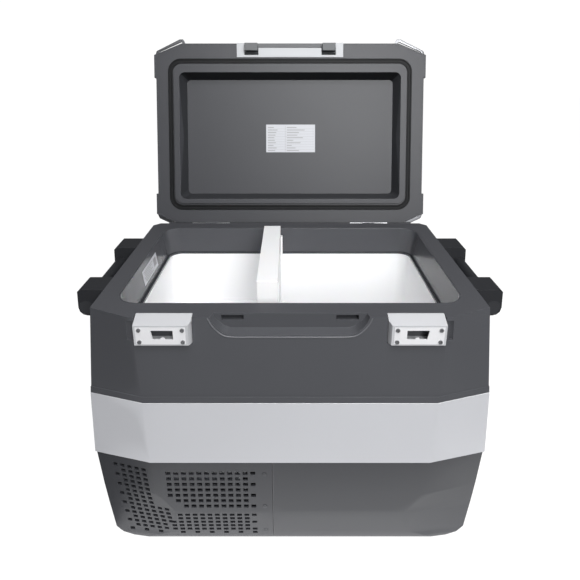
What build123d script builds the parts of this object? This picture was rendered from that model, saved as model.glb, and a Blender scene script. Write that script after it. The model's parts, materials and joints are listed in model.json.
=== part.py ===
from build123d import *
import os
from math import hypot, pi, atan2

# Portable compressor cooler: an insulated chest with a deep and a shallow compartment, a
# machine compartment under the shallow one, and a hinged insulated lid that stands open.
# Working frame: X to the right, Y to the back, Z up, with the front edge of the rim at Y 0
# and the top of the rim at Z 0. Everything is moved to the stored frame at the end.

os.makedirs("parts", exist_ok=True)

# ---------------------------------------------------------------- driving dimensions (mm)
RIM_Z = 470.0          # top of the rim above the ground
FOOT_H = 8.0           # rubber feet below the base
RIM_W = 325.5          # half width of the rim
RIM_D = 441.0          # front to back of the rim
WALL = 3.5             # moulded wall
BAND_TOP = -151.0
BAND_BOT = -266.0
CREASE_Z = -383.0
BASE_Z = -(RIM_Z - FOOT_H)      # underside of the base
OPEN_W = 290.0         # half width of the opening at the rim
OPEN_F, OPEN_R = 47.5, 406.0    # its front and rear edges
COLLAR_H = 57.0        # depth of the sloped collar
LIN_W = 279.0          # half width of the liner mouth, outside
LIN_F, LIN_R = 51.0, 401.0
SHALLOW_Z = -185.0     # floor of the left compartment
DEEP_Z = -375.0        # floor of the right compartment
STEP_X = -21.0         # step between the two floors
LIN_T = 2.0
MACH_X = -50.0         # right side of the machine compartment
MACH_Z = -229.0        # its ceiling
LID_T = 55.0           # lid thickness
LID_Z = 2.0            # underside of the closed lid
LID_W = 327.5
LID_F, LID_R = 9.0, 441.0
LID_OPEN = 104.0       # degrees
HINGE_Y, HINGE_Z = 450.0, -12.0
FRAME_Z = -6.0         # underside of the lid's inner frame, closed
DIV_X0, DIV_X1 = -58.0, -21.4
DIV_TOP = 18.5
DIV_F, DIV_R = 90.4, 371.6     # the top of the divider, which enters the lid's recess
TUBE_X, TUBE_Z, TUBE_R = 361.0, -36.5, 13.0   # side grips
SLOT_X, SLOT_W, SLOT_T = 92.0, 36.0, 9.0      # latch hook slots

NODES = {}


def put(name, shape, lid=False, latch=False):
    NODES[name] = (shape, "latch" if latch else "lid" if lid else "cab")


def bx(x0, x1, y0, y1, z0, z1):
    return Pos((x0 + x1) / 2, (y0 + y1) / 2, (z0 + z1) / 2) * Box(abs(x1 - x0), abs(y1 - y0), abs(z1 - z0))


def cylx(x0, x1, y, z, r):
    return Pos((x0 + x1) / 2, y, z) * Rot(0, 90, 0) * Cylinder(r, abs(x1 - x0))


def cyly(x, y0, y1, z, r):
    return Pos(x, (y0 + y1) / 2, z) * Rot(90, 0, 0) * Cylinder(r, abs(y1 - y0))


def cylz(x, y, z0, z1, r):
    return Pos(x, y, (z0 + z1) / 2) * Cylinder(r, abs(z1 - z0))


def poly(pts, z):
    return Wire.make_polygon([Vector(x, y, z) for x, y in pts], close=True)


def loft2(p0, z0, p1, z1):
    return Solid.make_loft([poly(p0, z0), poly(p1, z1)], True)


def rrect(x0, x1, y0, y1, z, r):
    f = Pos((x0 + x1) / 2, (y0 + y1) / 2, z) * RectangleRounded(x1 - x0, y1 - y0, r)
    return f.face() if hasattr(f, "face") else f


def rloft(a, za, ra, b, zb, rb):
    fa, fb = rrect(*a, za, ra), rrect(*b, zb, rb)
    return Solid.make_loft([fa.outer_wire(), fb.outer_wire()], True)


def rbox(x0, x1, y0, y1, z0, z1, r):
    return extrude(rrect(x0, x1, y0, y1, min(z0, z1), r), abs(z1 - z0))


def fuse(*s):
    out = s[0]
    for t in s[1:]:
        out = out + t
    return out


def group(items):
    return Compound(children=[i.solid() if not isinstance(i, Solid) else i for i in items])


def solids_of(shape):
    return Compound(children=list(shape.solids()))


# ---------------------------------------------------------------- outline of the cabinet
def outline(a, f, s, c, r, k):
    """Eight corners seen from above: a shallow facet across each front corner."""
    return [(-a, f), (a, f), (s, c), (s, r - k), (s - k, r), (-(s - k), r), (-s, r - k), (-s, c)]


LEVELS = [
    (0.0, (254.0, 0.0, RIM_W, 32.0, RIM_D, 14.0)),
    (BAND_TOP, (241.0, -12.0, 335.5, 15.0, 444.0, 15.0)),
    (BAND_BOT, (236.0, -20.0, 337.3, 5.0, 444.0, 15.0)),
    (-340.0, (229.0, -17.5, 333.2, 7.0, 442.0, 15.0)),
    (CREASE_Z, (202.0, -16.0, 330.0, 8.5, 440.0, 15.0)),
    (-443.0, (218.0, -4.5, 323.0, 8.0, 436.0, 16.0)),
    (-455.0, (250.0, -1.5, 311.0, 6.5, 428.0, 20.0)),
    (BASE_Z, (262.0, 1.5, 291.0, 5.5, 418.0, 24.0)),
]


def at(z):
    for (z0, p0), (z1, p1) in zip(LEVELS, LEVELS[1:]):
        if z1 <= z <= z0:
            t = (z0 - z) / (z0 - z1)
            return outline(*[u + (v - u) * t for u, v in zip(p0, p1)])
    raise ValueError(z)


def inset(pts, t):
    n, lines, out = len(pts), [], []
    for i in range(n):
        (x1, y1), (x2, y2) = pts[i], pts[(i + 1) % n]
        L = hypot(x2 - x1, y2 - y1)
        nx, ny = -(y2 - y1) / L, (x2 - x1) / L
        lines.append((nx, ny, nx * x1 + ny * y1 + t))
    for i in range(n):
        a, b = lines[i - 1], lines[i]
        det = a[0] * b[1] - a[1] * b[0]
        out.append(((a[2] * b[1] - b[2] * a[1]) / det, (a[0] * b[2] - b[0] * a[2]) / det))
    return out


def hull(z0, z1, t=0.0):
    """Solid between two heights, following the outline, t inside it."""
    zs = [z0] + [z for z, _ in LEVELS if z1 < z < z0] + [z1]
    return fuse(*[loft2(inset(at(a), t), a, inset(at(b), t), b) for a, b in zip(zs, zs[1:])])


# ---------------------------------------------------------------- cabinet shells
opening = rloft((-OPEN_W - 3, OPEN_W + 3, OPEN_F - 3, OPEN_R + 3), 1, 38,
                (-LIN_W - 7, LIN_W + 7, LIN_F - 5, LIN_R + 3.5), -COLLAR_H, 30)

upper = hull(0, BAND_TOP) + hull(BAND_TOP + 11.0, BAND_TOP, -0.8) - hull(-4.0, BAND_TOP, WALL) - opening

# front pocket for the latch: a scoop in the front edge with a sloped lower lip
pk_out = [(-127.5, 1), (127.5, 1), (124, -8), (117, -18), (108, -26), (98, -31),
          (-98, -31), (-108, -26), (-117, -18), (-124, -8)]
pk_in = [(x * 0.975, z if z > 0 else z * 0.86 + 0.5) for x, z in pk_out]


def xz(pts, y):
    return Wire.make_polygon([Vector(x, y, z) for x, z in pts], close=True)


def pocket(grow, back):
    def g(p, y):
        return xz([(x + (grow if x > 0 else -grow), z + (1 if z > 0 else -grow)) for x, z in p], y)
    return Solid.make_loft([g(pk_out, -6.0), g(pk_in, back)], True)


PK_BACK = 14.0
upper = upper + (pocket(3.2, PK_BACK + 3.5) & hull(0, -60, 0.0))
upper = upper - pocket(0.0, PK_BACK)
for s in (-1, 1):
    x = s * SLOT_X
    upper = upper + bx(x - SLOT_W / 2 - 2, x + SLOT_W / 2 + 2, PK_BACK + 2, PK_BACK + 17, -5.5 - SLOT_T, -2.0)
    upper = upper - bx(x - SLOT_W / 2, x + SLOT_W / 2, PK_BACK - 2, PK_BACK + 15, -3.5 - SLOT_T, -3.5)

# seats for the two opener blocks on the front edge
BLK_X0, BLK_X1, BLK_Z = 155.0, 245.0, -44.0
for s in (-1, 1):
    seat = bx(s * (BLK_X0 - 1), s * (BLK_X1 + 1), -20, 15.0, BLK_Z - 1, 1)
    wallbox = bx(s * (BLK_X0 - 4), s * (BLK_X1 + 4), 0, 18.0, BLK_Z - 4, -1)
    upper = upper + (wallbox & hull(0, -60, 0.0)) - seat
    well = Pos(s * (BLK_X1 + 3), -6, -25) * Rot(0, 0, s * 14) * Cylinder(16.5, 50)
    upper = upper + (well & hull(0, -60, 0.0) & bx(s * (BLK_X1 - 1), s * (BLK_X1 + 18), -30, 14, -48, -2))
    upper = upper - seat
    scoop = Pos(s * (BLK_X1 + 3), -6, -20) * Rot(0, 0, s * 14) * Cylinder(13, 40)
    upper = upper - (scoop & bx(s * (BLK_X1), s * (BLK_X1 + 14), -20, 6, -44, -6))
# machining room for the hinge leaves on the rear face
HX0, HX1 = 148.0, 240.0

collar = opening - rloft((-OPEN_W, OPEN_W, OPEN_F, OPEN_R), 1, 35,
                         (-LIN_W - 4, LIN_W + 4, LIN_F - 2, LIN_R + 0.5), -COLLAR_H - 0.001, 27)
collar = collar & bx(-400, 400, 0, 500, -COLLAR_H, 0)
put("inner_collar", collar)

# breaker strip: clear ring that separates the collar from the cold liner
strip = rbox(-LIN_W - 7, LIN_W + 7, LIN_F - 5, LIN_R + 3.5, -COLLAR_H - 5, -COLLAR_H, 30) \
    - rbox(-LIN_W + 1, LIN_W - 1, LIN_F + 1, LIN_R - 1, -COLLAR_H - 6, -COLLAR_H + 1, 25)
put("breaker_strip", strip)

LT = -COLLAR_H - 5
liner_out = rbox(-LIN_W, LIN_W, LIN_F, LIN_R, SHALLOW_Z - LIN_T, LT, 26) \
    + rbox(STEP_X - LIN_T, LIN_W, LIN_F, LIN_R, DEEP_Z - LIN_T, SHALLOW_Z, 26)
liner_in = rbox(-LIN_W + LIN_T, LIN_W - LIN_T, LIN_F + LIN_T, LIN_R - LIN_T, SHALLOW_Z, LT + 1, 24) \
    + rbox(STEP_X, LIN_W - LIN_T, LIN_F + LIN_T, LIN_R - LIN_T, DEEP_Z, SHALLOW_Z + 5, 24)
DRAIN_X, DRAIN_Y = 240.0, 340.0
liner = liner_out - liner_in - cylz(DRAIN_X, DRAIN_Y, DEEP_Z - 6, DEEP_Z + 4, 7.0)
put("liner", liner)

evap_r = (STEP_X - LIN_T - 2, LIN_W + 2, LIN_F - 2, LIN_R + 2)
evap = rbox(evap_r[0], evap_r[1], evap_r[2], evap_r[3], -330, -205, 28) \
    - rbox(evap_r[0] + 2, evap_r[1] - 2, evap_r[2] + 2, evap_r[3] - 2, -331, -204, 26)
put("evaporator_plate", evap)

# drain: a flanged elbow from the deep floor to the right side of the base
DR_Z = -420.0
drain_o = cylz(DRAIN_X, DRAIN_Y, DR_Z, DEEP_Z - LIN_T, 9.0) + (Pos(DRAIN_X, DRAIN_Y, DR_Z) * Sphere(9.0)) \
    + cylx(DRAIN_X, 327.0, DRAIN_Y, DR_Z, 9.0)
drain_i = cylz(DRAIN_X, DRAIN_Y, DR_Z, DEEP_Z + 4, 6.5) + (Pos(DRAIN_X, DRAIN_Y, DR_Z) * Sphere(6.5)) \
    + cylx(DRAIN_X, 330.0, DRAIN_Y, DR_Z, 6.5)
put("drain_elbow", drain_o - drain_i)

# ---------------------------------------------------------------- foam
foam = hull(-4.0, BAND_BOT, WALL) + hull(BAND_BOT, -440.0, WALL + 1.1)
foam = foam - bx(-400, MACH_X, -60, 460, -460, MACH_Z)
foam = foam - rbox(-LIN_W - 7, LIN_W + 7, LIN_F - 5, LIN_R + 3.5, LT, 1, 30)
foam = foam - opening - liner_out - rbox(*evap_r, -330, -205, 28) - pocket(3.2, PK_BACK + 3.5) - drain_o
foam = foam - bx(-SLOT_X - SLOT_W / 2 - 3, SLOT_X + SLOT_W / 2 + 3, PK_BACK, PK_BACK + 17.2, -5.7 - SLOT_T, -3.0)
for s in (-1, 1):
    foam = foam - bx(s * (BLK_X0 - 4), s * (BLK_X1 + 4), -30, 18.0, BLK_Z - 4, 1)
    foam = foam - bx(s * (BLK_X1 - 2), s * (BLK_X1 + 18), -30, 14, -48, 1)

# ---------------------------------------------------------------- band and base
band = hull(BAND_TOP, BAND_BOT, -1.2) - hull(BAND_TOP, BAND_BOT, WALL)

base = hull(BAND_BOT, BASE_Z, 1.0)
base = base - (hull(BAND_BOT, BASE_Z + 4, WALL + 1.0) - bx(-400, 400, -60, 500, BASE_Z - 1, BASE_Z + 4))


def front_y(z):
    return at(z)[0][1]


# the left front of the base is a separate ventilated panel that wraps the corner facet
SEAM_X = -30.0
PAN_B, PAN_T = BASE_Z + 10.0, BAND_BOT - 0.3
panel = (hull(PAN_T, PAN_B, 1.0) - hull(BAND_BOT, BASE_Z + 4, WALL + 1.0)) & bx(-420, SEAM_X - 0.6, -60, 59.4, PAN_B, PAN_T)
base = base - bx(-420, SEAM_X, -60, 60.0, PAN_B - 0.3, BAND_BOT + 2)
# landing strip behind the panel's free edge, where its screws bite
strip_b = (hull(BAND_BOT - 4, BASE_Z + 8, WALL + 1.0) - hull(BAND_BOT, BASE_Z + 4, 8.0)) & bx(SEAM_X - 26, SEAM_X + 10, -60, 30, BASE_Z + 8, BAND_BOT - 4)
base = base + strip_b
foam = foam - strip_b

# ventilation holes: a staggered grid on the front, and one square to the corner facet
holes = []
PX, PZ, HW, HH = 13.2, 12.65, 8.7, 7.4
ROWS = {0: range(0, 12), 1: range(0, 11), 2: range(0, 12), 3: range(0, 11), 4: range(0, 12), 5: range(1, 11), 6: range(2, 12)}
for r, cols in ROWS.items():
    z = -291.4 - r * PZ
    for c in cols:
        x = -209.0 + c * PX
        holes.append(bx(x - HW / 2, x + HW / 2, -40, 12, z - HH / 2, z + HH / 2))
LOW = [-378.6] + [-389.6 - 10.7 * r for r in range(6)]     # rows of the lower facet
for r, z in enumerate(LOW):
    a = -at(z)[0][0]
    for c in range(-1, 13):
        x = -222.0 + c * PX
        if -x > a + 1 or (r == 0 and c > 0) or (r == 6 and c % 2) or (r in (2, 4) and c == 12):
            continue
        holes.append(bx(x - HW / 2, x + HW / 2, -40, 30, z - 3.3, z + 3.3))
for r, z in enumerate([-288.0 - 11.3 * k for k in range(8)] + LOW):
    o = at(z)
    (ax, ay), (sx, sy) = o[0], o[7]
    L = hypot(sx - ax, sy - ay)
    for c in range(9):
        d = 32.0 + 13.6 * c
        if (c == 0 and r % 2) or (z > -375 and c > 4) or d > L - 5 or (r == 14 and c % 2):
            continue
        px, py = sx + (ax - sx) * d / L, sy + (ay - sy) * d / L
        holes.append(Pos(px, py, z) * Rot(0, 0, atan2(sy - ay, sx - ax) * 180 / pi) * Box(HW, 30, 7.0 if z > -375 else 6.6))
hole_tool = Compound(children=[h.solid() for h in holes])
panel = panel - hole_tool
SCREWS_P = [(-44.0, -294.0), (-44.0, -368.0), (-44.0, -436.0)]
for x, z in SCREWS_P:
    panel = panel - cyly(x, -40, 20, z, 1.8) - cyly(x, -40, front_y(z) + 1.9, z, 4.2)
    base = base - cyly(x, -40, 20, z, 1.35)
panel = panel.solids().sort_by(lambda s: s.volume)[-1]
put("vent_grille_panel", panel)
put("panel_screws", group([fuse(cyly(x, front_y(z) + 0.4, front_y(z) + 1.9, z, 3.6), cyly(x, front_y(z) + 1.9, front_y(z) + 7.2, z, 1.3))
                           - bx(x - 2.4, x + 2.4, front_y(z) - 3, front_y(z) + 1.1, z - 0.5, z + 0.5) for x, z in SCREWS_P]))

# ---------------------------------------------------------------- control panel on the left end
CP_Y0, CP_Y1, CP_Z0, CP_Z1 = 150.0, 310.0, -242.0, -176.0
XL = -338.6
cut_cp = bx(-350, -325, CP_Y0 + 6, CP_Y1 - 6, CP_Z0 + 6, CP_Z1 - 6)
band = band - cut_cp
foam = foam - bx(-345, -304, CP_Y0 + 2, CP_Y1 - 2, CP_Z0 + 2, CP_Z1 - 2)
put("band_shell", band)

bezel = bx(XL - 2.6, XL - 0.05, CP_Y0, CP_Y1, CP_Z0, CP_Z1) + bx(XL - 0.05, XL + 8, CP_Y0 + 6.3, CP_Y1 - 6.3, CP_Z0 + 6.3, CP_Z1 - 6.3)
bezel = bezel - bx(XL + 0.5, XL + 9, CP_Y0 + 9, CP_Y1 - 9, CP_Z0 + 9, CP_Z1 - 9)
LENS = (CP_Y0 + 12, CP_Y0 + 76, CP_Z0 + 14, CP_Z1 - 14)
bezel = bezel - bx(XL - 4, XL + 2, LENS[0], LENS[1], LENS[2], LENS[3])
BTN = {"button_power": (250.0, -196.0), "button_set": (286.0, -196.0), "button_up": (250.0, -222.0), "button_down": (286.0, -222.0)}
for y, z in BTN.values():
    bezel = bezel - cylx(XL - 4, XL + 2, y, z, 8.3)
put("control_bezel", bezel)
put("display_lens", bx(XL - 1.8, XL + 0.5, LENS[0] + 0.1, LENS[1] - 0.1, LENS[2] + 0.1, LENS[3] - 0.1))
for n, (y, z) in BTN.items():
    put(n, cylx(XL - 3.9, XL - 0.2, y, z, 8.0) + cylx(XL - 0.2, XL + 2.3, y, z, 6.5))
put("display_board", bx(XL + 5.4, XL + 7.0, CP_Y0 + 10, CP_Y1 - 10, CP_Z0 + 10, CP_Z1 - 10))

# ---------------------------------------------------------------- power inlets, low on the left end
IN_Y0, IN_Y1, IN_Z0, IN_Z1 = 330.0, 400.0, -352.0, -300.0
base = base - bx(-345, -298, IN_Y0, IN_Y1, IN_Z0, IN_Z1)
XI = -315.0
inlet = bx(XI, XI + 16, IN_Y0 + 0.1, IN_Y1 - 0.1, IN_Z0 + 0.1, IN_Z1 - 0.1)
inlet = inlet + (bx(-330, XI, IN_Y0 + 0.1, IN_Y1 - 0.1, IN_Z0 + 0.1, IN_Z1 - 0.1) - bx(-340, XI + 1, IN_Y0 + 3, IN_Y1 - 3, IN_Z0 + 3, IN_Z1 - 3))
inlet = inlet - bx(XI - 1, XI + 14, 337, 361, -336, -316)
inlet = inlet - cylx(XI - 1, XI + 14, 382, -326, 8.0)
put("power_inlet_housing", inlet)
put("inlet_contacts", group([bx(XI + 3, XI + 14.0, 341, 357, -332, -320), cylx(XI + 2, XI + 14.0, 378.6, -326, 1.3), cylx(XI + 2, XI + 14.0, 385.4, -326, 1.3)]))

# drain plug: pulls straight out of the right side
base = base - cylx(280, 340, DRAIN_Y, DR_Z, 9.05)
put("base_shell", base)
put("drain_plug", cylx(327.3, 332.0, DRAIN_Y, DR_Z, 8.6) + cylx(310.0, 327.4, DRAIN_Y, DR_Z, 6.2) + bx(331.9, 339.0, DRAIN_Y - 6.5, DRAIN_Y + 6.5, DR_Z - 1.8, DR_Z + 1.8))

# ---------------------------------------------------------------- feet
FEET = [(-235, 60), (235, 60), (-235, 370), (235, 370)]
feet = []
for x, y in FEET:
    feet.append(cylz(x, y, BASE_Z - FOOT_H, BASE_Z, 20.0) - cylz(x, y, BASE_Z - FOOT_H - 1, BASE_Z - FOOT_H + 2.5, 6))
put("rubber_feet", group(feet))

# ---------------------------------------------------------------- machine compartment
FLOOR = BASE_Z + 4
CX, CY = -165.0, 285.0
tray = bx(-255, -75, 190, 385, FLOOR, FLOOR + 2.0)
GR = [(-235, 215), (-95, 215), (-235, 360), (-95, 360)]
put("compressor_tray", tray)
gro = [cylz(x, y, FLOOR + 2, FLOOR + 12, 9) - cylz(x, y, FLOOR + 1.9, FLOOR + 12.1, 3.2) for x, y in GR]
put("grommets", group(gro))
mount = bx(-250, -80, 200, 375, FLOOR + 12, FLOOR + 14.5)
for x, y in GR:
    mount = mount - cylz(x, y, FLOOR + 11, FLOOR + 16, 3.2)
put("mount_bolts", group([cylz(x, y, FLOOR + 2, FLOOR + 14.5, 3.0) + cylz(x, y, FLOOR + 14.5, FLOOR + 19, 6.0) for x, y in GR]))
comp = cylz(CX, CY, FLOOR + 12.5, FLOOR + 150, 68.0)
comp = fillet(comp.edges().filter_by(GeomType.CIRCLE), 30.0)
comp = comp + cylz(CX + 50, CY - 30, FLOOR + 100, FLOOR + 172, 4.0) + bx(CX + 58, CX + 84, CY - 22, CY + 22, FLOOR + 60, FLOOR + 110)
put("compressor", comp + mount)

# condenser behind the ventilated panel, fan behind the condenser
C0, C1 = -262.0, -92.0
fins = [bx(C0 + 6, C1 - 6, 62, 92, z, z + 1.2) for z in range(-432, -290, 10)]
rows = list(range(-426, -300, 21))
cond = fuse(bx(C0, C0 + 3, 60, 94, -438, -286), bx(C1 - 3, C1, 60, 94, -438, -286))
cond = fuse(cond, *[cylx(C0 - 6, C1 + 6, 77, z, 3.7) for z in rows])
cond = fuse(cond, *fins, bx(C0, C0 + 6.5, 62, 92, -433, -290), bx(C1 - 6.5, C1, 62, 92, -433, -290))
put("condenser", cond)
FX, FY, FZ = -177.0, 118.0, -364.0
shroud = bx(FX - 80, FX + 80, 96, 99, FZ - 74, FZ + 74) - cyly(FX, 90, 105, FZ, 62.0)
ring = cyly(FX, 99, 134, FZ, 66.0) - cyly(FX, 90, 140, FZ, 62.0)
hubm = cyly(FX, 130, 134, FZ, 20.0)
strut = fuse(hubm, bx(FX - 64, FX + 64, 130, 134, FZ - 3, FZ + 3), bx(FX - 3, FX + 3, 130, 134, FZ - 64, FZ + 64))
shaft = cyly(FX, 112, 131, FZ, 3.0)
put("fan_shroud", fuse(shroud, ring, strut, shaft))
rot = cyly(FX, 103, 125, FZ, 17.0) - cyly(FX, 111.5, 129, FZ, 3.05)
for i in range(7):
    blade = Pos(0, 0, 37) * Rot(0, 0, 32) * Box(30, 2.0, 42)
    blade = Pos(FX, 114, FZ) * Rot(0, i * 360 / 7, 0) * (blade & (Rot(90, 0, 0) * Cylinder(58, 17)))
    rot = rot + blade
put("fan_rotor", rot)

# electronics, drier and refrigerant pipes
put("control_module", bx(-298, -264, 180, 290, FLOOR, FLOOR + 96))
put("power_supply", bx(-298, -264, 305, 395, FLOOR, FLOOR + 74))
dr = cylz(-90, 150, -420, -330, 11.0)
dr = dr + cylz(-90, 150, -330, -318, 4.5) + cylz(-90, 150, -432, -420, 4.5)
put("filter_drier", dr)


def pipe(pts, r, rad):
    path = FilletPolyline(*pts, radius=rad)
    return sweep(Plane(origin=path @ 0, z_dir=path % 0) * Circle(r), path=path)


p1 = pipe([(CX + 50, CY - 30, FLOOR + 172.2), (CX + 50, CY - 30, -250), (-110, 165, -250), (-110, 165, -290)], 3.0, 12)
p2 = pipe([(-90, 150, -317.8), (-90, 150, -255), (-90, 370, -255), (-150, 370, -255)], 3.0, 12)
put("refrigerant_pipes", Compound(children=[p1.solid(), p2.solid()]))


# ---------------------------------------------------------------- opener blocks
plates, all_scr = [], []
for s, side in ((-1, "left"), (1, "right")):
    prof = [(12.0, -0.2), (-10.0, -9.0), (-10.0, BLK_Z), (14.0, BLK_Z), (14.0, -0.2)]
    w = Wire.make_polygon([Vector(0, y, z) for y, z in prof], close=True)
    xi, xo = BLK_X0, BLK_X1
    blk = Pos(min(s * xi, s * xo), 0, 0) * extrude(Face(w), xo - xi, dir=(1, 0, 0))
    # slanted inner end
    cutter = Wire.make_polygon([Vector(s * (xi - 1), 1.0, 5), Vector(s * (xi - 1), -20, 5), Vector(s * (xi + 9), -20, 5)], close=True)
    blk = blk - extrude(Face(cutter), 60, dir=(0, 0, -1))
    blk = blk - bx(s * (xi + 14), s * (xo - 12), -20, 10.0, -39.5, -16.0)   # mouth behind the plate
    blk = blk - bx(s * (xi + 8), s * (xo - 3), -11, -8.0, -41.8, -11.5)      # seat of the plate
    # opener plate with a tooth in its cut-out
    pl = bx(s * (xi + 8.2), s * (xo - 3.2), -10.2, -8.0, -41.6, -11.7)
    o = [(xi + 28, -17.5), (xo - 27, -17.5), (xo - 30, -33.5), (xi + 28, -33.5)]
    hole = extrude(Face(Wire.make_polygon([Vector(s * x, 5, z) for x, z in o], close=True)), 20, dir=(0, -1, 0))
    tooth = cyly(s * (xi + 45), -10.2, -8.0, -35.0, 4.5) & bx(s * (xi + 30), s * (xo - 32), -12, -6, -40, -28)
    pl = pl - hole + tooth
    for x, z in ((xi + 13, -16.5), (xo - 9, -16.5), (xi + 13, -37.5), (xo - 9, -37.5)):
        pl = pl - cyly(s * x, -14, -4, z, 1.9)
    plates.append(pl)
    scr, blk_t = [], blk
    for x, z in ((xi + 13, -16.5), (xo - 9, -16.5), (xi + 13, -37.5), (xo - 9, -37.5)):
        scr.append((cyly(s * x, -12.2, -10.2, z, 3.3) + cyly(s * x, -10.3, 0.0, z, 1.7)) - cyly(s * x, -13, -11.0, z, 1.3))
        blk_t = blk_t - cyly(s * x, -12, 0.1, z, 1.72)
    put(f"latch_block_{side}", blk_t)
    all_scr += scr

put("opener_plates", group(plates))
put("opener_screws", group(all_scr))

# catch plates behind the hook slots
catches = []
for s in (-1, 1):
    x = s * SLOT_X
    c = bx(x - 24, x + 24, PK_BACK + 3.6, PK_BACK + 5.2, -22, -4.1) - bx(x - SLOT_W / 2 - 2.05, x + SLOT_W / 2 + 2.05, 0, 40, -5.6 - SLOT_T, -2)
    catches.append(c)
    foam = foam - bx(x - 25, x + 25, PK_BACK + 3.4, PK_BACK + 11, -23, -3.9)
put("catch_plates", Compound(children=[q for c in catches for q in c.solids()]))

# ---------------------------------------------------------------- side handles
YB = ((97.0, 149.0), (290.0, 346.0))
caps = []
for s, side in ((-1, "left"), (1, "right")):
    bosses = []
    for i, (y0, y1) in enumerate(YB):
        prof = [(320.0, -2.0), (370.0, -2.0), (374.0, -6.0), (375.5, TUBE_Z), (373.5, TUBE_Z - 8.5), (368.0, TUBE_Z - 14.0), (361.0, TUBE_Z - 16.0), (320.0, TUBE_Z - 16.0)]
        w = Wire.make_polygon([Vector(s * x, y0, z) for x, z in prof], close=True)
        b = extrude(Face(w), y1 - y0, dir=(0, 1, 0))
        b = b - hull(0, -100)
        b = b.solids().sort_by(lambda q: q.volume)[-1]
        b = b - cyly(s * TUBE_X, y0 - (1 if i == 0 else 1), y1 + (1 if i == 0 else -10), TUBE_Z, TUBE_R)
        bosses.append(b)
    put(f"handle_brackets_{side}", group(bosses))
    g = cyly(s * TUBE_X, YB[0][0] + 3.0, YB[1][1] - 10.0, TUBE_Z, TUBE_R)
    g = g - cyly(s * TUBE_X, 0, 500, TUBE_Z, TUBE_R - 4)
    put(f"handle_grip_{side}", g)
    caps.append(cyly(s * TUBE_X, YB[0][0] + 0.6, YB[0][0] + 3.0, TUBE_Z, TUBE_R) + cyly(s * TUBE_X, YB[0][0] + 3.0, YB[0][0] + 12, TUBE_Z, TUBE_R - 4))

put("grip_end_caps", group(caps))

# ---------------------------------------------------------------- divider
dv = bx(DIV_X0, DIV_X1, DIV_F, DIV_R, -60.0, DIV_TOP)
dv = dv + bx(DIV_X0, DIV_X1, DIV_F, 400.0, -60.0, -14.0)
dv = dv + bx(DIV_X0, DIV_X1, LIN_F + LIN_T + 0.6, LIN_R - LIN_T - 0.6, SHALLOW_Z + 0.4, -63.0) + bx(DIV_X0, DIV_X1, DIV_F, 395, -63.5, -59)
dv = dv + bx(DIV_X1, DIV_X1 + 4.0, 384.0, LIN_R - LIN_T - 0.6, -180.0, -14.0)
for y in (DIV_F + 8, DIV_F + 16):
    dv = dv + bx(DIV_X1, DIV_X1 + 2.0, y, y + 3, -170.0, 6.0)
put("divider", dv)


# ---------------------------------------------------------------- lid (drawn closed, stored open)
def lid_outline(w, f, r, fa, fc, ra, rc):
    return [(-fa, f), (fa, f), (w, f + fc), (w, r - rc), (ra, r), (-ra, r), (-w, r - rc), (-w, f + fc)]


lo0 = lid_outline(LID_W, LID_F, LID_R, 261, 27, 279, 21)
lo1 = lid_outline(LID_W - 3, LID_F + 3, LID_R - 2, 259, 27, 277, 21)
lo2 = lid_outline(LID_W - 26, LID_F + 24, LID_R - 20, 246, 22, 262, 18)
LT0, LT1, LT2 = LID_Z, LID_Z + 36, LID_Z + LID_T
lid_solid = loft2(lo0, LT0, lo1, LT1) + loft2(lo1, LT1, lo2, LT2)
lid_cav = loft2(inset(lo0, WALL), LT0 - 0.01, inset(lo1, WALL), LT1 - 1) + loft2(inset(lo1, WALL), LT1 - 1, inset(lo2, WALL + 1), LT2 - WALL)
lid_shell = lid_solid - lid_cav
# shallow recess along each side between the corner blocks
for s in (-1, 1):
    lid_shell = lid_shell - bx(s * (LID_W - 4.5), s * (LID_W + 5), 90, 370, LID_Z - 1, LID_Z + 22)
    lid_shell = lid_shell + (bx(s * (LID_W - 9), s * (LID_W - 4.5), 88, 372, LID_Z, LID_Z + 23) & lid_solid)
lid_in_space = lid_cav
for s in (-1, 1):
    lid_in_space = lid_in_space - bx(s * (LID_W - 9), s * (LID_W + 3.0), 88, 372, LID_Z - 1, LID_Z + 24)

# inner panel: border, gasket channel, raised frame and deep recess
GX0, GX1 = 281.0, 296.5           # gasket channel, half widths
GF0, GR1 = 42.5, 412.0            # and its outer front and rear edges
FRX, FRF, FRR = 279.0, 62.0, 393.0   # raised frame, outside
MX, MF, MR = 266.5, 78.5, 382.5      # mouth of the recess
FLX, FLF, FLR = 252.5, 91.5, 370.5   # floor of the recess
FLZ = 24.0
plate = lid_in_space & bx(-400, 400, -10, 500, LID_Z, LID_Z + 3)
frame_ = rbox(-FRX, FRX, FRF, FRR, FRAME_Z, LID_Z + 3, 20)
mouth = rloft((-MX, MX, MF, MR), FRAME_Z - 0.01, 14, (-FLX, FLX, FLF, FLR), FLZ, 10)
tub = rloft((-MX - 3, MX + 3, MF - 3, MR + 3), FRAME_Z, 16, (-FLX - 3, FLX + 3, FLF - 3, FLR + 3), FLZ + 3, 12)
chan = rbox(-GX1, GX1, GF0, GR1, LID_Z, LID_Z + 8, 34) - rbox(-GX0, GX0, GF0 + 16, GR1 - 16, LID_Z - 1, LID_Z + 9, 20)
chan_cut = rbox(-GX1 + 2, GX1 - 2, GF0 + 2, GR1 - 2, LID_Z - 1, LID_Z + 6, 32) - rbox(-GX0 - 2, GX0 + 2, GF0 + 14, GR1 - 14, LID_Z - 2, LID_Z + 7, 22)
inner = fuse(plate, frame_, tub, chan) - mouth - chan_cut
INS_X, INS_Y = 128.0, 41.5
inner = inner - bx(-INS_X - 0.4, INS_X + 0.4, -10, INS_Y, LID_Z - 1, LID_Z + 3.5)
inner = inner.solids().sort_by(lambda q: q.volume)[-1]
put("lid_inner_panel", inner, lid=True)

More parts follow.
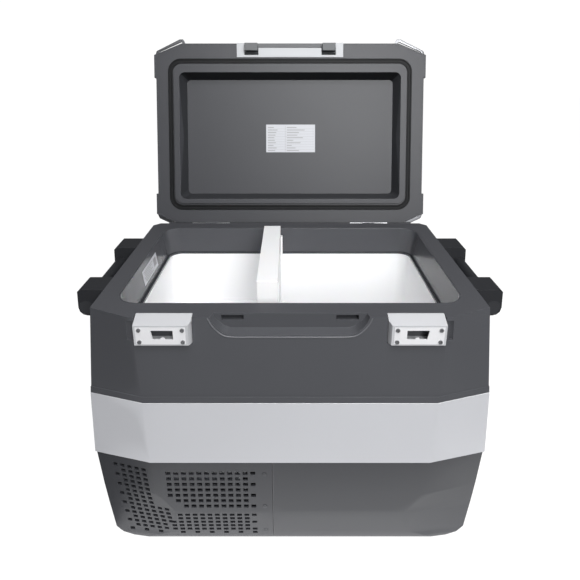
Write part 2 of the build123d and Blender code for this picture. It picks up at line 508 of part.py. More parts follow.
gasket = rbox(-GX1 + 2.2, GX1 - 2.2, GF0 + 2.2, GR1 - 2.2, 0.4, LID_Z + 6, 31.8) - rbox(-GX0 - 2.2, GX0 + 2.2, GF0 + 13.8, GR1 - 13.8, -1, LID_Z + 7, 22)
gasket = gasket - (rbox(-GX1 + 5.6, GX1 - 5.6, GF0 + 5.6, GR1 - 5.6, 0.0, 2.0, 28.4) - rbox(-GX0 - 5.0, GX0 + 5.0, GF0 + 11.0, GR1 - 11.0, -1, 3, 24.5))
put("lid_gasket", gasket, lid=True)

lid_foam = lid_in_space & bx(-400, 400, -10, 500, LID_Z + 3, 80)
lid_foam = lid_foam - tub - mouth - chan

# latch insert on the front edge, with the two hook openings
insert = bx(-INS_X, INS_X, LID_F - 1.6, INS_Y - 0.4, LID_Z, LID_Z + 3.2) + bx(-INS_X, INS_X, LID_F - 1.6, LID_F + 2.4, LID_Z, LID_Z + 26)
LW0, LW1 = 76.0, 110.0
for s in (-1, 1):
    insert = insert - bx(s * LW0, s * LW1, -10, 36, LID_Z - 1, LID_Z + 23.5)
insert = insert - bx(-LW0 - 1, LW0 + 1, -10, LID_F + 10.4, LID_Z - 1, LID_Z + 23.5)
lid_shell = lid_shell - bx(-INS_X - 0.3, INS_X + 0.3, -10, LID_F + 10, LID_Z - 1, LID_Z + 27)
# box behind the insert that houses the latch spindle
hb = bx(-INS_X - 3, INS_X + 3, LID_F, 38, LID_Z, LID_Z + 30) - bx(-INS_X - 0.3, INS_X + 0.3, -10, 35, LID_Z - 1, LID_Z + 27)
hb = hb & lid_solid
lid_shell = lid_shell + (hb - bx(-400, 400, -10, 500, LID_Z - 1, LID_Z + 3.6))
PV_Y, PV_Z = 26.0, LID_Z + 18.5        # latch spindle
ears = fuse(*[bx(x - 2.5, x + 2.5, 19.5, 34.9, LID_Z + 3.2, LID_Z + 26.9) for x in (-116.5, -60, 60, 116.5)])
ears = ears - cylx(-200, 200, PV_Y, PV_Z, 3.0)
insert = insert + ears
put("latch_insert", insert, lid=True)
put("latch_spindle", cylx(-122, 122, PV_Y, PV_Z, 2.95), lid=True)
lid_foam = lid_foam - bx(-INS_X - 3, INS_X + 3, -10, 38, LID_Z - 1, LID_Z + 30) - bx(-INS_X - 3, INS_X + 3, -10, 42, LID_Z - 1, LID_Z + 3.6)

# latch handle: a grip bar with two hooked arms on the spindle
arms = []
for s in (-1, 1):
    x0, x1 = s * (LW0 + 1.5), s * (LW1 - 1.5)
    arm = fuse(
        cylx(x0, x1, PV_Y, PV_Z, 6.0),
        bx(x0, x1, LID_F - 0.6, PV_Y, PV_Z - 14.0, PV_Z - 8.5),
        bx(x0, x1, PV_Y - 6.0, PV_Y, PV_Z - 10.0, PV_Z),
        bx(x0, x1, LID_F + 1.4, LID_F + 4.6, -10.6, PV_Z - 8.5),
        bx(x0, x1, LID_F + 1.4, 28.0, -10.6, -6.5),
    )
    arms.append(arm)
bar = bx(-LW1 + 1.5, LW1 - 1.5, LID_F - 0.6, LID_F + 9.4, LID_Z + 1.0, LID_Z + 10.0)
handle = fuse(*arms, bar) - cylx(-200, 200, PV_Y, PV_Z, 3.0)
put("latch_handle", handle, latch=True)
# return springs coiled on the spindle
put("latch_springs", group([cylx(s * 30, s * 56, PV_Y, PV_Z, 5.0) - cylx(s * 29, s * 57, PV_Y, PV_Z, 3.2) for s in (-1, 1)]), lid=True)


# tie-down loops across the lid's four corners
def loop(s, front):
    if front:
        o = [(326, 60), (332, 32), (328, 20), (271, -8), (262, -8), (252, 13), (260, 13), (266, -2), (321.5, 22.5), (321, 60)]
    else:
        o = [(325, 400), (332, 424), (328, 433), (285, 453), (276, 453), (267, 437), (275, 437), (280, 447), (321.5, 428), (320, 400)]
    z0 = LID_Z + 27
    w = Wire.make_polygon([Vector(s * x, y, z0) for x, y in o], close=True)
    return extrude(Face(w), 5.0, dir=(0, 0, 1))


loops = [loop(-1, True), loop(1, True), loop(-1, False), loop(1, False)]
for l in loops:
    lid_shell = lid_shell - l
for l in loops:
    lid_foam = lid_foam - l
put("tie_down_loops", group([l.solid() for l in loops]), lid=True)

put("lid_label", bx(-59, 62, 200, 268, FLZ - 0.4, FLZ - 0.05), lid=True)

# ---------------------------------------------------------------- hinges
pins, cab_leaves, lid_leaves, cscrews, lscrews = [], [], [], [], []
for s in (-1, 1):
    x0, x1 = s * HX0, s * HX1
    third = (HX1 - HX0) / 3
    # cabinet leaf: plate on the rear face, two outer knuckles
    ybk = 442.6
    plate_c = bx(x0, x1, ybk, ybk + 3.0, -48, -10)
    kn = [cylx(s * HX0, s * (HX0 + third - 0.4), HINGE_Y, HINGE_Z, 6.0), cylx(s * (HX1 - third + 0.4), s * HX1, HINGE_Y, HINGE_Z, 6.0)]
    web = [bx(s * HX0, s * (HX0 + third - 0.4), ybk, HINGE_Y, -18, -10), bx(s * (HX1 - third + 0.4), s * HX1, ybk, HINGE_Y, -18, -10)]
    leaf = fuse(plate_c, *kn, *web) - cylx(-400, 400, HINGE_Y, HINGE_Z, 3.0)
    leaf = leaf - bx(s * (HX0 + third - 0.4), s * (HX1 - third + 0.4), 440, 470, -22.5, 10)
    cab_leaves.append(leaf)
    # lid leaf: plate on the lid's rear face, one middle knuckle
    plate_l = bx(x0, x1, LID_R + 0.2, LID_R + 3.2, 2.5, 30) + bx(x0, x1, LID_R + 0.2, LID_R + 6.0, 2.5, 8.5)
    knl = cylx(s * (HX0 + third), s * (HX1 - third), HINGE_Y, HINGE_Z, 6.0)
    xa = s * (HX0 + third)
    webl = Wire.make_polygon([Vector(xa, LID_R + 0.4, 2.6), Vector(xa, LID_R + 5.8, 8.0), Vector(xa, HINGE_Y + 5.2, HINGE_Z + 2.0),
                              Vector(xa, HINGE_Y - 3.0, HINGE_Z - 1.0), Vector(xa, LID_R + 2.2, -2.0)], close=True)
    web2 = extrude(Face(webl), third, dir=(s, 0, 0))
    ll = fuse(plate_l, knl, web2) - cylx(-400, 400, HINGE_Y, HINGE_Z, 3.0)
    lid_leaves.append(ll)
    pins.append(cylx(x0, x1, HINGE_Y, HINGE_Z, 2.95))
    for k in (-30, 0, 30):
        xm = s * (HX0 + HX1) / 2 + k
        cscrews.append(cyly(xm, ybk + 3.0, ybk + 5.0, -36, 3.5) + cyly(xm, 431, ybk + 3.1, -36, 2.0))
        lscrews.append(cyly(xm, LID_R + 3.2, LID_R + 5.0, 21, 3.5) + cyly(xm, 429, LID_R + 3.3, 21, 2.0))
lv = group([c.solid() for c in cab_leaves])
for c in cscrews:
    lv = lv - c
up = upper
# flat pad on the rear face behind each cabinet leaf
for s in (-1, 1):
    pad = bx(s * (HX0 - 4), s * (HX1 + 4), 436, 442.6, -52, -2.0)
    up = up + pad
for s in (-1, 1):
    foam = foam - bx(s * (HX0 - 4), s * (HX1 + 4), 430.5, 446, -52, 0.0)
for c in cscrews:
    up = up - c
    foam = foam - c
put("upper_shell", up)
put("foam_insulation", foam)
put("hinge_leaves_cabinet", solids_of(lv))
ll = group([c.solid() for c in lid_leaves])
for c in lscrews:
    ll = ll - c
    lid_shell = lid_shell - c
for c in lscrews:
    lid_foam = lid_foam - c
put("lid_foam", lid_foam, lid=True)
put("hinge_leaves_lid", solids_of(ll), lid=True)
put("hinge_pins", group(pins))
put("hinge_screws_cabinet", group([c.solid() for c in cscrews]))
put("hinge_screws_lid", group([c.solid() for c in lscrews]), lid=True)
put("lid_shell", lid_shell, lid=True)

# sticker on the collar's left wall
put("collar_label", Pos(-286.0, 244.0, -28.5) * Rot(0, -7.0, 0) * Box(0.4, 100, 30))

# ---------------------------------------------------------------- store
# the lid and its latch turn about the hinge line to the open stop
turn = Location((0, HINGE_Y, HINGE_Z)) * Location((0, 0, 0), (-LID_OPEN, 0, 0)) * Location((0, -HINGE_Y, -HINGE_Z))
done = {}
for name, (shape, where) in NODES.items():
    done[name] = turn * shape if where in ("lid", "latch") else shape
lo = [min(s.bounding_box().min.Y for s in done.values()), max(s.bounding_box().max.Y for s in done.values())]
Y_SHIFT = -sum(lo) / 2
print("y range", lo, "centre", sum(lo) / 2)
x = [min(s.bounding_box().min.X for s in done.values()), max(s.bounding_box().max.X for s in done.values())]
print("x range", x)
for name, s in done.items():
    export_step(Location((0, Y_SHIFT, RIM_Z)) * s, f"parts/{name}.step")
print(len(done), "nodes")
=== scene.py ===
import bpy, bmesh, json, math
from mathutils import Vector, Matrix

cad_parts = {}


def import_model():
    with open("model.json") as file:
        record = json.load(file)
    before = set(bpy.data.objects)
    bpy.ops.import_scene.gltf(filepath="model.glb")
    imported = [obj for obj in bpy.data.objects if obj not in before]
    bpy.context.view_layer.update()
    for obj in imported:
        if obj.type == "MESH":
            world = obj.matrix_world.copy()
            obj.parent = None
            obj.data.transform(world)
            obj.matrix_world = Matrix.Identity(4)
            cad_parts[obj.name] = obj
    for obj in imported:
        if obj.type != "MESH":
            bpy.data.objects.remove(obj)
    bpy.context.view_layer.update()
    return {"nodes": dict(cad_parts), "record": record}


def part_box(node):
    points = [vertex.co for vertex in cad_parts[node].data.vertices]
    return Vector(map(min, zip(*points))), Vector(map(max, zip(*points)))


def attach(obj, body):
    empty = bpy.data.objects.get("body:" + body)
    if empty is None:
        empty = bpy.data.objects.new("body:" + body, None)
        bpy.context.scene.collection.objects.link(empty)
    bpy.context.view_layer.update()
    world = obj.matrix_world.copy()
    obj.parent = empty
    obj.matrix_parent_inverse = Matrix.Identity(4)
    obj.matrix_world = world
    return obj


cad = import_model()
N = cad["nodes"]

# Working frame of the cabinet, in millimetres: front edge of the rim at Y 0, top of the rim at Z 0
RIM_Z = 470.0
lo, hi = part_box("upper_shell")
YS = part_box("rubber_feet")[0].y * 1000 - 40.0        # feet start 40 mm behind the rim's front edge
HY, HZ = 450.0, -12.0
OPEN = math.radians(-104)


def P(x, y, z):
    return Vector((x / 1000, (y + YS) / 1000, (z + RIM_Z) / 1000))


def L(x, y, z):
    """A point given on the closed lid, in its stored open place."""
    a, b = y - HY, z - HZ
    return P(x, HY + a * math.cos(OPEN) - b * math.sin(OPEN), HZ + a * math.sin(OPEN) + b * math.cos(OPEN))


# ------------------------------------------------------------------ materials
def lin(c):
    c = c / 255.0
    return c / 12.92 if c <= 0.04045 else ((c + 0.055) / 1.055) ** 2.4


def rgb(r, g, b):
    return (lin(r), lin(g), lin(b), 1.0)


def mat(name, col, rough=0.5, metal=0.0, spec=0.5, grain=0.0, gscale=900.0, bump=0.0, coat=0.0, trans=0.0, rvar=0.0, ior=None, blotch=0.0, sss=0.0, aniso=0.0):
    m = bpy.data.materials.new(name)
    m.use_nodes = True
    nt = m.node_tree
    b = nt.nodes["Principled BSDF"]
    b.inputs["Base Color"].default_value = col
    b.inputs["Roughness"].default_value = rough
    b.inputs["Metallic"].default_value = metal
    b.inputs["Specular IOR Level"].default_value = spec
    if coat:
        b.inputs["Coat Weight"].default_value = coat
        b.inputs["Coat Roughness"].default_value = 0.12
    if trans:
        b.inputs["Transmission Weight"].default_value = trans
    if ior:
        b.inputs["IOR"].default_value = ior
    if sss:
        b.inputs["Subsurface Weight"].default_value = sss
        b.inputs["Subsurface Scale"].default_value = 0.004
    if grain or bump or rvar or blotch:
        tc = nt.nodes.new("ShaderNodeTexCoord")
        n1 = nt.nodes.new("ShaderNodeTexNoise")
        n1.inputs["Scale"].default_value = gscale
        n1.inputs["Detail"].default_value = 3.0
        nt.links.new(tc.outputs["Object"], n1.inputs["Vector"])
        if grain or blotch:
            n2 = nt.nodes.new("ShaderNodeTexNoise")
            n2.inputs["Scale"].default_value = 7.0
            n2.inputs["Detail"].default_value = 4.0
            nt.links.new(tc.outputs["Object"], n2.inputs["Vector"])
            a = nt.nodes.new("ShaderNodeMapRange")
            a.inputs["From Min"].default_value = 0.3
            a.inputs["From Max"].default_value = 0.7
            a.inputs["To Min"].default_value = 1.0 - grain
            a.inputs["To Max"].default_value = 1.0 + grain
            nt.links.new(n1.outputs["Fac"], a.inputs["Value"])
            c = nt.nodes.new("ShaderNodeMapRange")
            c.inputs["From Min"].default_value = 0.3
            c.inputs["From Max"].default_value = 0.7
            c.inputs["To Min"].default_value = 1.0 - blotch
            c.inputs["To Max"].default_value = 1.0 + blotch
            nt.links.new(n2.outputs["Fac"], c.inputs["Value"])
            mul = nt.nodes.new("ShaderNodeMath")
            mul.operation = "MULTIPLY"
            nt.links.new(a.outputs["Result"], mul.inputs[0])
            nt.links.new(c.outputs["Result"], mul.inputs[1])
            mx = nt.nodes.new("ShaderNodeVectorMath")
            mx.operation = "SCALE"
            mx.inputs[0].default_value = col[:3]
            nt.links.new(mul.outputs[0], mx.inputs["Scale"])
            nt.links.new(mx.outputs["Vector"], b.inputs["Base Color"])
        if rvar:
            r = nt.nodes.new("ShaderNodeMapRange")
            r.inputs["To Min"].default_value = max(0.02, rough - rvar)
            r.inputs["To Max"].default_value = min(1.0, rough + rvar)
            nt.links.new(n1.outputs["Fac"], r.inputs["Value"])
            nt.links.new(r.outputs["Result"], b.inputs["Roughness"])
        if bump:
            bp = nt.nodes.new("ShaderNodeBump")
            bp.inputs["Strength"].default_value = bump
            bp.inputs["Distance"].default_value = 0.0004
            nt.links.new(n1.outputs["Fac"], bp.inputs["Height"])
            nt.links.new(bp.outputs["Normal"], b.inputs["Normal"])
    return m


M = {
    "body_plastic": mat("body_plastic", rgb(77, 78, 82), 0.46, spec=0.42, grain=0.05, gscale=1400, bump=0.35, rvar=0.05, blotch=0.02),
    "collar_plastic": mat("collar_plastic", rgb(80, 81, 85), 0.24, spec=0.5, grain=0.02, gscale=1100, bump=0.06, rvar=0.03),
    "band_plastic": mat("band_plastic", rgb(198, 199, 203), 0.42, spec=0.4, grain=0.02, gscale=1600, bump=0.12, rvar=0.04, blotch=0.01),
    "base_plastic": mat("base_plastic", rgb(59, 60, 64), 0.5, spec=0.42, grain=0.05, gscale=1400, bump=0.35, rvar=0.05, blotch=0.02),
    "lid_plastic": mat("lid_plastic", rgb(67, 68, 72), 0.44, spec=0.42, grain=0.05, gscale=1400, bump=0.3, rvar=0.05, blotch=0.02),
    "clear_trim": mat("clear_trim", rgb(58, 60, 64), 0.18, spec=0.5, coat=0.3),
    "liner_white": mat("liner_white", rgb(252, 252, 253), 0.35, spec=0.4, blotch=0.01, grain=0.005, gscale=600, bump=0.04, sss=0.05),
    "foam": mat("foam", rgb(215, 205, 165), 0.9, spec=0.1, grain=0.06, gscale=700, bump=0.5),
    "black_plastic": mat("black_plastic", rgb(41, 42, 45), 0.42, spec=0.35, grain=0.06, gscale=1500, bump=0.4, rvar=0.06),
    "silver_paint": mat("silver_paint", rgb(202, 203, 206), 0.36, metal=0.12, spec=0.45, grain=0.03, gscale=2200, bump=0.08, rvar=0.04),
    "steel": mat("steel", rgb(205, 206, 208), 0.28, metal=1.0, grain=0.03, gscale=900, rvar=0.08, bump=0.04),
    "painted_steel": mat("painted_steel", rgb(32, 32, 34), 0.35, spec=0.5, bump=0.05, gscale=500, rvar=0.03),
    "alu": mat("alu", rgb(200, 202, 205), 0.35, metal=1.0, rvar=0.06, gscale=700),
    "copper": mat("copper", rgb(196, 120, 80), 0.3, metal=1.0, rvar=0.06, gscale=500),
    "rubber_black": mat("rubber_black", rgb(34, 34, 36), 0.6, spec=0.3, grain=0.05, gscale=1300, bump=0.2),
    "label_white": mat("label_white", rgb(205, 207, 212), 0.45, spec=0.35, blotch=0.01, gscale=400),
    "board_green": mat("board_green", rgb(30, 80, 45), 0.5),
}
INK = mat("ink_grey", rgb(150, 150, 152), 0.5, spec=0.3)
INK_RED = mat("ink_red", rgb(190, 60, 50), 0.5, spec=0.3)
LED = mat("display_dark", rgb(18, 20, 24), 0.15, spec=0.5, coat=0.5)
slots = {s["node"]: s["material_slot"] for s in cad["record"]["subparts"]}
for n, o in N.items():
    o.data.materials.clear()
    o.data.materials.append(M[slots[n]])
# painted glow: the white liner gets a faint white emission, so it shines a little brighter than its lighting makes it
b = M["liner_white"].node_tree.nodes["Principled BSDF"]
b.inputs["Emission Color"].default_value = (1, 1, 1, 1)
b.inputs["Emission Strength"].default_value = 0.035
N["display_lens"].data.materials[0] = LED
N["lid_gasket"].data.materials[0] = mat("gasket_rubber", rgb(17, 18, 20), 0.55, spec=0.25, bump=0.08, gscale=900)
N["tie_down_loops"].data.materials[0] = mat("loop_steel", rgb(120, 121, 124), 0.3, metal=0.85, grain=0.03, gscale=900, bump=0.04)
N["panel_screws"].data.materials[0] = mat("panel_screw_dark", rgb(84, 85, 88), 0.4, metal=0.6)
# painted shade: the insulation faces on the machine compartment side (x below -20 mm, height below 242.5 mm) get black
# plastic, standing in for the dark seen through the vent slots
foam_o = N["foam_insulation"]
foam_o.data.materials.append(M["black_plastic"])
for p_ in foam_o.data.polygons:
    c_ = foam_o.matrix_world @ p_.center
    if c_.x < -0.02 and c_.z < 0.2425:
        p_.material_index = 1
CAP = mat("cap_plastic", rgb(52, 53, 56), 0.38, spec=0.4, bump=0.1, gscale=1200)
N["grip_end_caps"].data.materials[0] = CAP
N["opener_screws"].data.materials[0] = mat("screw_steel", rgb(150, 151, 153), 0.32, metal=0.8)
N["opener_plates"].data.materials[0] = mat("plate_steel", rgb(238, 238, 240), 0.4, metal=0.1, spec=0.5, grain=0.02, gscale=1500)
N["latch_handle"].data.materials[0] = mat("latch_paint", rgb(106, 108, 110), 0.5, metal=0.0, spec=0.3, grain=0.03, gscale=2200, bump=0.06, rvar=0.04)


N["latch_insert"].data.materials[0] = mat("insert_paint", rgb(194, 196, 199), 0.42, spec=0.4, grain=0.02, gscale=2000, bump=0.06)


def second(name, material, test):
    """Give the faces that pass a test on their stored centre and normal a second material."""
    o = N[name]
    o.data.materials.append(material)
    k = len(o.data.materials) - 1
    r3 = o.matrix_world.to_3x3()
    for p_ in o.data.polygons:
        if test(o.matrix_world @ p_.center, (r3 @ p_.normal).normalized()):
            p_.material_index = k


# painted shade: darker colours on the walls of the lid's dish, darkest on the downward-facing top wall, and on the
# faces deep behind the opener mouths
LIDN = (L(0, 0, -1) - L(0, 0, 0)).normalized()
second("lid_inner_panel", mat("lid_wall_painted_shade", rgb(50, 51, 54), 0.4, spec=0.4, bump=0.1, gscale=1200), lambda c, n: abs(n.dot(LIDN)) < 0.75 and abs(c.x) < 0.262 and n.z > -0.5)
second("lid_inner_panel", mat("lid_wall_top_painted_shadow", rgb(24, 25, 27), 0.5, spec=0.3), lambda c, n: abs(n.dot(LIDN)) < 0.75 and abs(c.x) < 0.262 and n.z <= -0.5 and c.z < 0.86)
LID0 = L(0, 0, 2.0)
# painted shade on the latch insert faces lying more than 4.2 mm behind the lid face
second("latch_insert", mat("insert_painted_shade", rgb(46, 47, 50), 0.5, spec=0.3), lambda c, n: (c - LID0).dot(LIDN) < -0.0042)
# painted shade inside the opener mouths of the latch blocks
PAINTED_POCKET_SHADE = mat("block_pocket_painted_shade", rgb(74, 75, 78), 0.45, metal=0.3)
for side in ("left", "right"):
    second("latch_block_" + side, PAINTED_POCKET_SHADE, lambda c, n: 0.183 < abs(c.x) < 0.228 and 0.431 < c.z < 0.453 and c.y > -0.3035)

# painted highlight: the bevel faces of the moulded edges get a lighter, smoother copy of the material beside them
EDGE_HIGHLIGHT = {
    "body_plastic": mat("body_edge_painted_highlight", rgb(104, 105, 109), 0.3, spec=0.6), "base_plastic": mat("base_edge_painted_highlight", rgb(84, 85, 89), 0.32, spec=0.6),
    "lid_plastic": mat("lid_edge_painted_highlight", rgb(92, 93, 97), 0.3, spec=0.6), "black_plastic": mat("black_edge_painted_highlight", rgb(58, 59, 62), 0.3, spec=0.5),
    "band_plastic": mat("band_edge_painted_highlight", rgb(214, 215, 218), 0.3, spec=0.5), "silver_paint": mat("silver_edge_painted_highlight", rgb(226, 227, 229), 0.3, spec=0.5),
}
HIGHLIGHT_EDGED = {"upper_shell", "band_shell", "base_shell", "vent_grille_panel", "lid_inner_panel", "handle_brackets_left", "handle_brackets_right", "latch_block_left", "latch_block_right"}


# ------------------------------------------------------------------ edges of the moulded pieces
def soften(name, w, seg=3, ang=28):
    o = N[name]
    for p in o.data.polygons:
        p.use_smooth = True
    m = o.modifiers.new("weld", "WELD")
    m.merge_threshold = 2e-5
    b = o.modifiers.new("bevel", "BEVEL")
    b.width = w / 1000
    b.segments = seg
    b.limit_method = "ANGLE"
    b.angle_limit = math.radians(ang)
    b.use_clamp_overlap = True
    b.miter_outer = "MITER_ARC"
    b.harden_normals = False
    # the bevel faces of these parts take the lighter edge material, a painted highlight
    if name in HIGHLIGHT_EDGED:
        o.data.materials.append(EDGE_HIGHLIGHT[slots[name]])
        b.material = len(o.data.materials) - 1
    wn = o.modifiers.new("wn", "WEIGHTED_NORMAL")
    wn.keep_sharp = False
    wn.weight = 60
    return o


SOFT = {
    "upper_shell": 1.6, "band_shell": 1.0, "base_shell": 1.2, "vent_grille_panel": 0.5, "inner_collar": 0.7, "breaker_strip": 0.5,
    "liner": 0.6, "divider": 1.8, "lid_shell": 1.2, "lid_inner_panel": 1.0, "lid_gasket": 0.6, "latch_insert": 0.8,
    "latch_handle": 0.9, "latch_block_left": 1.2, "latch_block_right": 1.2, "opener_plates": 0.4, "opener_screws": 0.35,
    "handle_brackets_left": 2.2, "handle_brackets_right": 2.2, "handle_grip_left": 0.5, "handle_grip_right": 0.5,
    "grip_end_caps": 1.1, "tie_down_loops": 1.2, "hinge_leaves_cabinet": 0.5, "hinge_leaves_lid": 0.5, "hinge_pins": 0.3,
    "hinge_screws_cabinet": 0.4, "hinge_screws_lid": 0.4, "panel_screws": 0.3, "rubber_feet": 1.0, "control_bezel": 0.8,
    "power_inlet_housing": 0.6, "drain_plug": 0.6, "button_power": 0.6, "button_set": 0.6, "button_up": 0.6, "button_down": 0.6,
    "fan_shroud": 0.4, "compressor": 0.5, "display_lens": 0.2,
}
for n, w in SOFT.items():
    soften(n, w)

# ------------------------------------------------------------------ helpers for added pieces
def obj(name, verts, faces, material, body, smooth=False):
    me = bpy.data.meshes.new(name)
    me.from_pydata([tuple(v) for v in verts], [], faces)
    me.update()
    o = bpy.data.objects.new(name, me)
    bpy.context.scene.collection.objects.link(o)
    o.data.materials.append(material)
    if smooth:
        for p in me.polygons:
            p.use_smooth = True
    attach(o, body)
    return o


def slab(name, corners, normal, t, material, body):
    """A thin plate: four corners and a thickness along a normal, all in metres."""
    n = Vector(normal).normalized() * t
    v = [Vector(c) for c in corners] + [Vector(c) + n for c in corners]
    f = [(0, 1, 2, 3), (7, 6, 5, 4), (0, 4, 5, 1), (1, 5, 6, 2), (2, 6, 7, 3), (3, 7, 4, 0)]
    o = obj(name, v, f, material, body)
    bm = bmesh.new()
    bm.from_mesh(o.data)
    bmesh.ops.recalc_face_normals(bm, faces=bm.faces)
    bm.to_mesh(o.data)
    bm.free()
    return o


# raised lip around the latch pocket, on the front face, coloured with the lighter edge material as a painted highlight
def tube(name, pts, r, material, body, closed=False, n=8):
    pts = [Vector(p) for p in pts]
    v, f = [], []
    m = len(pts)
    for i, p in enumerate(pts):
        a = pts[(i - 1) % m] if (closed or i) else pts[0]
        b = pts[(i + 1) % m] if (closed or i < m - 1) else pts[-1]
        t = (b - a).normalized()
        u = t.cross(Vector((0, 1, 0.2))).normalized()
        w_ = t.cross(u).normalized()
        for k in range(n):
            q = 2 * math.pi * k / n
            v.append(p + (u * math.cos(q) + w_ * math.sin(q)) * r)
    for i in range(m if closed else m - 1):
        for k in range(n):
            j = (i + 1) % m
            f.append((i * n + k, i * n + (k + 1) % n, j * n + (k + 1) % n, j * n + k))
    if not closed:
        f.append(tuple(range(n - 1, -1, -1)))
        f.append(tuple((m - 1) * n + k for k in range(n)))
    return obj(name, v, f, material, body, smooth=True)


def shell_y(z):
    """Front face of the upper shell at a height below the rim."""
    return -12.0 * (-z) / 151.0


def smooth_path(pts, it=2):
    for _ in range(it):
        out = [pts[0]]
        for a, b in zip(pts, pts[1:]):
            out.append(tuple(a[i] * 0.75 + b[i] * 0.25 for i in range(len(a))))
            out.append(tuple(a[i] * 0.25 + b[i] * 0.75 for i in range(len(a))))
        out.append(pts[-1])
        pts = out
    return pts


lip = [(-129.5, -1.5), (-126, -10), (-119, -20), (-109, -29), (-98, -33.6), (-60, -33.6), (60, -33.6), (98, -33.6), (109, -29), (119, -20), (126, -10), (129.5, -1.5)]
lip = smooth_path(lip)
# the pocket lip takes the lighter edge colour: a painted highlight
tube("pocket_lip", [P(x, shell_y(z) - 0.1, z) for x, z in lip], 0.0011, EDGE_HIGHLIGHT["body_plastic"], "cabinet")

# the lid's rear lip, which closes the gap above the hinges
slab("lid_rear_lip", [L(-298, 440.6, 4), L(298, 440.6, 4), L(298, 444, 4), L(-298, 444, 4)], L(0, 0, 1) - L(0, 0, 0), 0.007, M["lid_plastic"], "lid")

# generic print on the two stickers: ruled rows of plain bars, no lettering
def lid_bar(name, x0, x1, y0, y1, material):
    slab(name, [L(x0, y0, 23.58), L(x1, y0, 23.58), L(x1, y1, 23.58), L(x0, y1, 23.58)], L(0, 0, -1) - L(0, 0, 0), 0.00006, material, "lid")


lens_a = [18, 22, 14, 20, 17, 16, 19, 21, 24, 15]
lens_b = [30, 22, 12, 34, 16, 40, 26, 30, 44, 24]
for k in range(10):
    y = 264.0 - k * 6.3
    lid_bar(f"label_row_{k}", -55, -55 + lens_a[k], y - 1.1, y + 0.5, INK)
    lid_bar(f"label_val_{k}", -8, -8 + lens_b[k], y - 1.1, y + 0.5, INK)
    if k:
        lid_bar(f"label_rule_{k}", -56, 59, y + 3.0, y + 3.3, INK)
lid_bar("label_column", -12, -11.5, 203, 266, INK)

def collar_bar(name, y0, y1, d0, d1, material):
    """A printed bar on the sticker of the left collar wall; d is the depth below the rim."""
    def q(y, d):
        return P(-290.0 + 7.0 * d / 57.0 + 0.78, y, -d)
    slab(name, [q(y0, d0), q(y1, d0), q(y1, d1), q(y0, d1)], (1, 0, 0.12), 0.00005, material, "cabinet")


for k in range(6):
    collar_bar(f"sticker_row_{k}", 200 + (k % 3) * 3, 262 - (k * 7) % 16, 18.5 + k * 3.9, 19.9 + k * 3.9, INK)
collar_bar("sticker_mark", 268, 286, 19, 36, INK)

# ------------------------------------------------------------------ floor, light, camera
sc = bpy.context.scene
floor_mat = bpy.data.materials.new("floor")
floor_mat.use_nodes = True
ft = floor_mat.node_tree
ft.nodes["Principled BSDF"].inputs["Base Color"].default_value = (0.12, 0.12, 0.12, 1)
ft.nodes["Principled BSDF"].inputs["Roughness"].default_value = 0.9
ft.nodes["Principled BSDF"].inputs["Specular IOR Level"].default_value = 0.0
ft.nodes["Principled BSDF"].inputs["Emission Color"].default_value = (1, 1, 1, 1)
ft.nodes["Principled BSDF"].inputs["Emission Strength"].default_value = 1.0
bpy.ops.mesh.primitive_plane_add(size=18, location=(0, 0, 0))
floor = bpy.context.object
floor.name = "stage_floor"
floor.data.materials.append(floor_mat)
floor.visible_diffuse = False
floor.visible_glossy = False

w = bpy.data.worlds.new("studio")
w.use_nodes = True
wt = w.node_tree
bg = wt.nodes["Background"]
bg.inputs[0].default_value = (0.95, 0.96, 1.0, 1)
bg.inputs[1].default_value = 0.18
sc.world = w

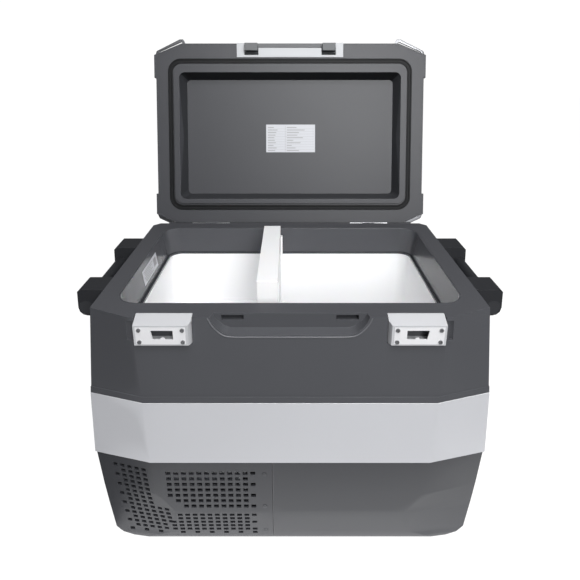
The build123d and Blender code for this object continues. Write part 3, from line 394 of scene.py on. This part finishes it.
# white studio sweep behind and below the object, bright enough to read as plain white
backdrop_mat = bpy.data.materials.new("backdrop")
backdrop_mat.use_nodes = True
bt = backdrop_mat.node_tree
bt.nodes.remove(bt.nodes["Principled BSDF"])
em = bt.nodes.new("ShaderNodeEmission")
em.inputs["Color"].default_value = (1, 1, 1, 1)
em.inputs["Strength"].default_value = 1.05
bt.links.new(em.outputs[0], bt.nodes["Material Output"].inputs[0])
bpy.ops.mesh.primitive_plane_add(size=60, location=(0, 9, 0), rotation=(math.radians(90), 0, 0))
back = bpy.context.object
back.name = "stage_backdrop"
back.data.materials.append(backdrop_mat)
back.visible_diffuse = False
back.visible_glossy = False


def area(name, loc, aim, size, power, col=(1, 1, 1), size_y=None):
    d = bpy.data.lights.new(name, "AREA")
    d.energy = power
    d.size = size
    if size_y:
        d.shape = "RECTANGLE"
        d.size_y = size_y
    d.color = col
    o = bpy.data.objects.new(name, d)
    o.location = loc
    o.rotation_euler = (Vector(aim) - Vector(loc)).to_track_quat("-Z", "Y").to_euler()
    sc.collection.objects.link(o)
    return o


area("front", (0.68, -2.55, 1.7), (0, 0, 0.35), 1.0, 48)
area("right", (2.4, -1.0, 1.0), (0, 0, 0.25), 1.0, 4)
area("top_front", (0.1, -0.8, 1.7), (0, -0.15, 0.3), 0.9, 14)
low = area("low_front", (0.14, -0.37, 0.004), (0.14, -0.37, 0.5), 0.95, 1.25, size_y=0.26)
low.visible_camera = False


def flag(name, loc, size, rot):
    """A black card beside the object, unseen by the camera, that keeps stray light off one side."""
    bpy.ops.mesh.primitive_plane_add(size=1, location=loc, rotation=rot)
    o = bpy.context.object
    o.name = name
    o.scale = (size[0], size[1], 1)
    o.data.materials.append(CARD)
    o.visible_camera = False


CARD = mat("black_card", (0.01, 0.01, 0.01, 1), 0.9, spec=0.1)
flag("stage_card_left", (-1.15, -0.4, 0.55), (1.3, 1.8), (0, math.radians(90), 0))

cam_d = bpy.data.cameras.new("camera")
cam = bpy.data.objects.new("camera", cam_d)
sc.collection.objects.link(cam)
sc.camera = cam
cam_d.sensor_width = 36.0
cam_d.sensor_fit = "HORIZONTAL"
cam_d.lens = 36.0 * 495.0 / 580.0
cam_d.shift_y = -(290.0 - 210.0) / 580.0
cam.location = P(0, -684.79, 399.4)
cam.rotation_euler = (math.radians(90 - 18), 0, 0)
cam_d.clip_start = 0.01

sc.view_settings.view_transform = "Standard"
sc.view_settings.look = "None"
